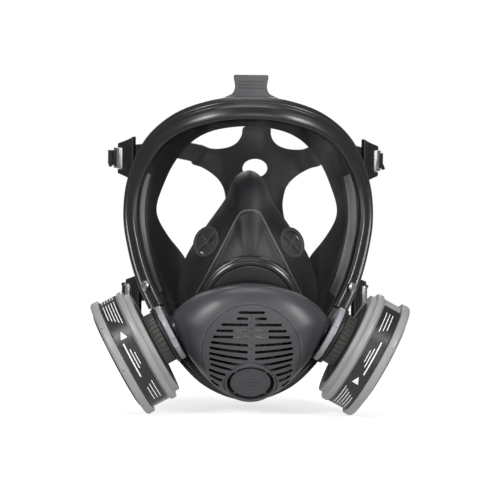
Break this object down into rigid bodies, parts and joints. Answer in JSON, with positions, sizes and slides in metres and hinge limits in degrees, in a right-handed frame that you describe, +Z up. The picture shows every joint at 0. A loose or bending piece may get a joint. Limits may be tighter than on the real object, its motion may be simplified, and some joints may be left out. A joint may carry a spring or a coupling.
{
  "type": "full face respirator",
  "caption": "Full face respirator with panoramic lens, front speech and exhalation unit, screw-on filter cartridges and a strap harness.",
  "frame": {"origin": "middle of the wearer's face opening, where the face seats in the seal", "axes": "-Y out of the front of the mask, +Z up, +X to the right in a front view"},
  "size_m": [0.2458, 0.2576, 0.2615],
  "materials": {
    "black_rubber": "satin moulded rubber with a fine matt grain",
    "satin_black_plastic": "smooth satin black",
    "charcoal_plastic": "fine spark-eroded moulding texture, charcoal",
    "clear_lens": "clear polished polycarbonate",
    "cartridge_grey": "light warm grey moulding",
    "connector_plastic": "light grey moulding with a lilac tint",
    "collar_plastic": "dark grey-brown moulding",
    "label_film": "black printed film",
    "light_plastic": "pale grey moulding",
    "valve_rubber": "thin soft silicone",
    "steel": "brushed stainless steel",
    "carbon": "packed activated carbon granules"
  },
  "bodies": {
    "facepiece": {"breathing_housing": "satin_black_plastic", "clamp_screw_left": "steel", "clamp_screw_right": "steel", "connector_left": "connector_plastic", "connector_right": "connector_plastic", "diaphragm_retainer": "light_plastic", "exhalation_valve_seat": "light_plastic", "face_skirt": "black_rubber", "front_cover": "charcoal_plastic", "grille_panel": "charcoal_plastic", "harness_pad": "black_rubber", "inlet_gasket_left": "black_rubber", "inlet_gasket_right": "black_rubber", "lens": "clear_lens", "lens_ring_lower": "satin_black_plastic", "lens_ring_upper": "satin_black_plastic", "nose_cup": "black_rubber", "nose_cup_valve_seat_left": "collar_plastic", "nose_cup_valve_seat_right": "collar_plastic", "outlet_guard": "charcoal_plastic", "port_ring": "satin_black_plastic", "speech_diaphragm": "steel", "strap_cheek_left": "black_rubber", "strap_cheek_right": "black_rubber", "strap_crown": "black_rubber", "strap_lug_cheek_left": "black_rubber", "strap_lug_cheek_right": "black_rubber", "strap_lug_crown": "black_rubber", "strap_lug_temple_left": "black_rubber", "strap_lug_temple_right": "black_rubber", "strap_temple_left": "black_rubber", "strap_temple_right": "black_rubber"},
    "cartridge_left": {"cartridge_collar_left": "collar_plastic", "cartridge_body_left": "cartridge_grey", "cartridge_cap_left": "cartridge_grey", "cartridge_label_left": "label_film", "sorbent_bed_left": "carbon"},
    "cartridge_right": {"cartridge_collar_right": "collar_plastic", "cartridge_body_right": "cartridge_grey", "cartridge_cap_right": "cartridge_grey", "cartridge_label_right": "label_film", "sorbent_bed_right": "carbon"},
    "strap_buckle_crown": {"buckle_crown": "steel", "strap_end_crown": "black_rubber"},
    "strap_buckle_temple_left": {"buckle_temple_left": "steel", "strap_end_temple_left": "black_rubber"},
    "strap_buckle_temple_right": {"buckle_temple_right": "steel", "strap_end_temple_right": "black_rubber"},
    "strap_buckle_cheek_left": {"buckle_cheek_left": "steel", "strap_end_cheek_left": "black_rubber"},
    "strap_buckle_cheek_right": {"buckle_cheek_right": "steel", "strap_end_cheek_right": "black_rubber"},
    "exhalation_flap": {"exhalation_valve_disc": "valve_rubber"},
    "inhalation_flap_left": {"inhalation_valve_disc_left": "valve_rubber"},
    "nose_cup_flap_left": {"nose_cup_valve_disc_left": "valve_rubber"},
    "inhalation_flap_right": {"inhalation_valve_disc_right": "valve_rubber"},
    "nose_cup_flap_right": {"nose_cup_valve_disc_right": "valve_rubber"}
  },
  "joints": [
    {"name": "cartridge_twist_left", "type": "hinge", "parent": "facepiece", "child": "cartridge_left", "pos_m": [-0.061, -0.078, -0.0593], "axis": [-0.8788, 0, -0.4772], "range_deg": [0, 90]},
    {"name": "cartridge_twist_right", "type": "hinge", "parent": "facepiece", "child": "cartridge_right", "pos_m": [0.061, -0.078, -0.0593], "axis": [0.8788, 0, -0.4772], "range_deg": [0, 90]},
    {"name": "buckle_pivot_crown", "type": "hinge", "parent": "facepiece", "child": "strap_buckle_crown", "pos_m": [0, -0.0275, 0.132], "axis": [1, 0, 0], "range_deg": [-25, 25]},
    {"name": "buckle_pivot_temple_left", "type": "hinge", "parent": "facepiece", "child": "strap_buckle_temple_left", "pos_m": [-0.10174, 0.00904, 0.072], "axis": [0, 0, 1], "range_deg": [-20, 20]},
    {"name": "buckle_pivot_temple_right", "type": "hinge", "parent": "facepiece", "child": "strap_buckle_temple_right", "pos_m": [0.10174, 0.00904, 0.072], "axis": [0, 0, 1], "range_deg": [-20, 20]},
    {"name": "buckle_pivot_cheek_left", "type": "hinge", "parent": "facepiece", "child": "strap_buckle_cheek_left", "pos_m": [-0.09474, 0.02132, -0.038], "axis": [0, 0, 1], "range_deg": [-20, 20]},
    {"name": "buckle_pivot_cheek_right", "type": "hinge", "parent": "facepiece", "child": "strap_buckle_cheek_right", "pos_m": [0.09474, 0.02132, -0.038], "axis": [0, 0, 1], "range_deg": [-20, 20]},
    {"name": "exhalation_flap_lift", "type": "slide", "parent": "facepiece", "child": "exhalation_flap", "axis": [0, -0.766, -0.6428], "range_m": [0, 0.0025], "stiffness_N_per_m": 20, "springref_m": -0.0005},
    {"name": "inhalation_flap_lift_left", "type": "slide", "parent": "facepiece", "child": "inhalation_flap_left", "axis": [0.8788, 0, 0.4772], "range_m": [0, 0.001], "stiffness_N_per_m": 20, "springref_m": -0.0005},
    {"name": "nose_cup_flap_lift_left", "type": "slide", "parent": "facepiece", "child": "nose_cup_flap_left", "axis": [0.6222, 0.7226, -0.3011], "range_m": [0, 0.0015], "stiffness_N_per_m": 20, "springref_m": -0.0005},
    {"name": "inhalation_flap_lift_right", "type": "slide", "parent": "facepiece", "child": "inhalation_flap_right", "axis": [-0.8788, 0, 0.4772], "range_m": [0, 0.001], "stiffness_N_per_m": 20, "springref_m": -0.0005},
    {"name": "nose_cup_flap_lift_right", "type": "slide", "parent": "facepiece", "child": "nose_cup_flap_right", "axis": [-0.6222, 0.7226, -0.3011], "range_m": [0, 0.0015], "stiffness_N_per_m": 20, "springref_m": -0.0005}
  ]
}
